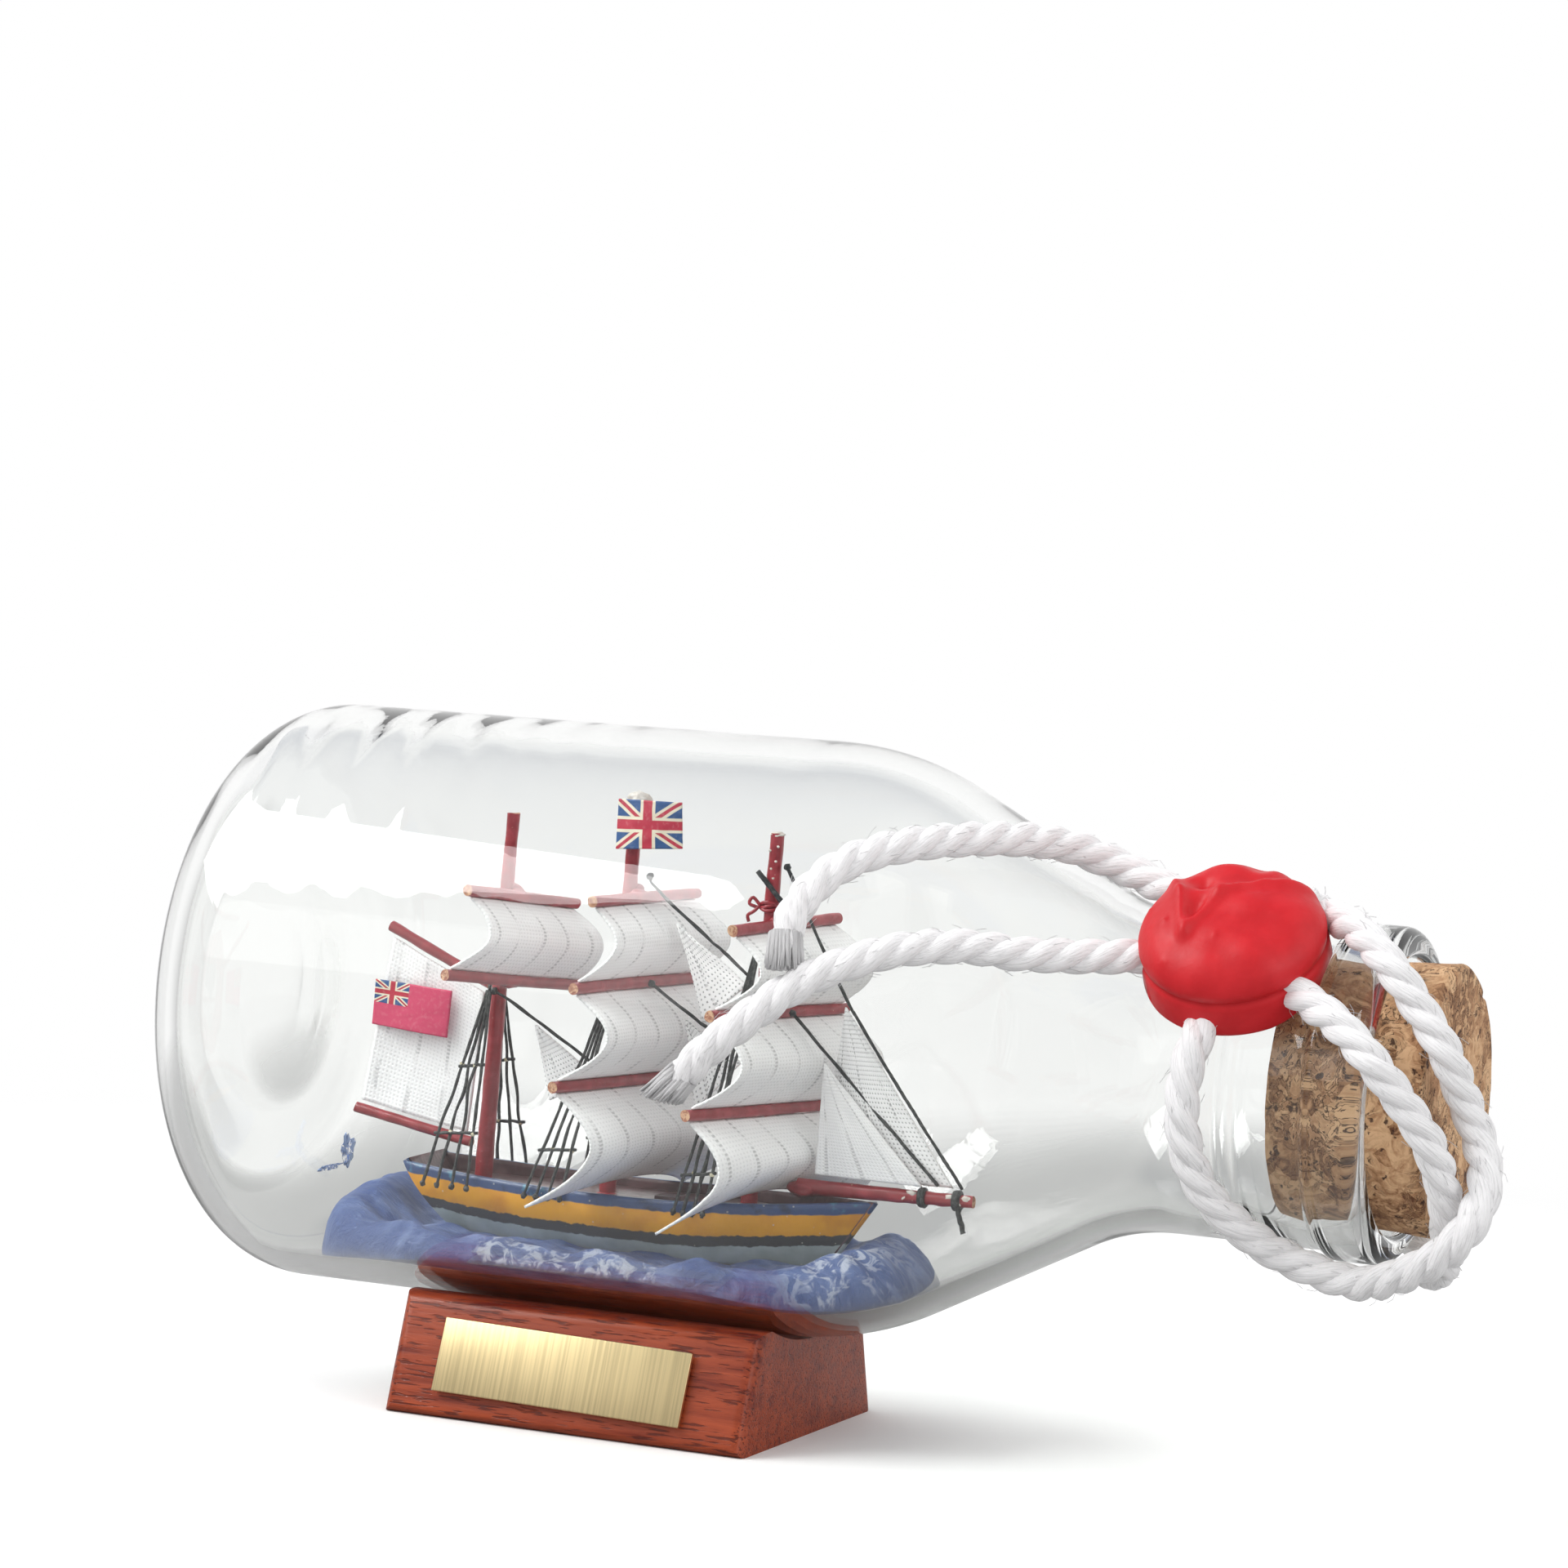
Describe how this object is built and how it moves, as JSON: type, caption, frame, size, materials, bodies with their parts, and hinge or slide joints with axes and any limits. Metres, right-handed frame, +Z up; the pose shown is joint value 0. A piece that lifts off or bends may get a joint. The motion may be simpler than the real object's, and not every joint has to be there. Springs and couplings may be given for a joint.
{
  "type": "ship in a bottle",
  "caption": "Model sailing ship on a moulded sea inside a clear glass bottle lying on a wooden base, its cork tied with cotton rope under a wax seal.",
  "frame": {"origin": "centre of the wooden base's flat underside, on the surface it stands on", "axes": "+X along the bottle towards the cork, +Z up, -Y the front with the nameplate"},
  "size_m": [0.1261, 0.0585, 0.0644],
  "materials": {
    "base_wood": "red-brown stained hardwood, satin lacquer",
    "plate_brass": "brushed, lacquered, blank",
    "bottle_glass": "clear, faint green in thick edges",
    "cork": "agglomerated cork, raw",
    "seal_wax": "pressed sealing wax, satin",
    "cotton_rope": "three-strand twisted cotton, frayed ends",
    "sea_putty": "moulded putty with painted ripples, satin",
    "hull_paint": "hand-painted bands",
    "deck_paint": "brown paint",
    "spar_paint": "dark red gloss paint",
    "sail_cloth": "stiffened open-weave cotton",
    "black_thread": "glued sewing thread",
    "flag_paper": "printed paper"
  },
  "bodies": {
    "root": {"base_block": "base_wood", "nameplate": "plate_brass", "bottle": "bottle_glass", "cork": "cork", "wax_seal": "seal_wax", "rope_tail_upper": "cotton_rope", "rope_tail_lower": "cotton_rope", "rope_cork_loop": "cotton_rope", "rope_neck_loop": "cotton_rope", "sea": "sea_putty", "hull": "hull_paint", "deck": "deck_paint", "deck_hatch": "deck_paint", "mizzen_mast": "spar_paint", "main_mast": "spar_paint", "fore_mast": "spar_paint", "mizzen_upper_yard": "spar_paint", "mizzen_lower_yard": "spar_paint", "main_upper_yard": "spar_paint", "main_middle_yard": "spar_paint", "main_lower_yard": "spar_paint", "fore_upper_yard": "spar_paint", "fore_middle_yard": "spar_paint", "fore_lower_yard": "spar_paint", "bowsprit": "spar_paint", "spanker_gaff": "spar_paint", "spanker_boom": "spar_paint", "mizzen_topsail": "sail_cloth", "main_topgallant": "sail_cloth", "main_topsail": "sail_cloth", "main_course": "sail_cloth", "fore_topgallant": "sail_cloth", "fore_topsail": "sail_cloth", "fore_course": "sail_cloth", "spanker": "sail_cloth", "mizzen_staysail": "sail_cloth", "main_upper_staysail": "sail_cloth", "main_lower_staysail": "sail_cloth", "outer_jib": "sail_cloth", "inner_jib": "sail_cloth", "mizzen_shrouds_near": "black_thread", "mizzen_shrouds_far": "black_thread", "main_shrouds_near": "black_thread", "main_shrouds_far": "black_thread", "fore_shrouds_near": "black_thread", "fore_shrouds_far": "black_thread", "mizzen_stay": "black_thread", "main_upper_stay": "black_thread", "main_lower_stay": "black_thread", "fore_upper_stay": "black_thread", "fore_lower_stay": "black_thread", "fore_mast_lashing": "spar_paint", "ensign": "flag_paper", "masthead_flag": "flag_paper"}
  },
  "joints": []
}
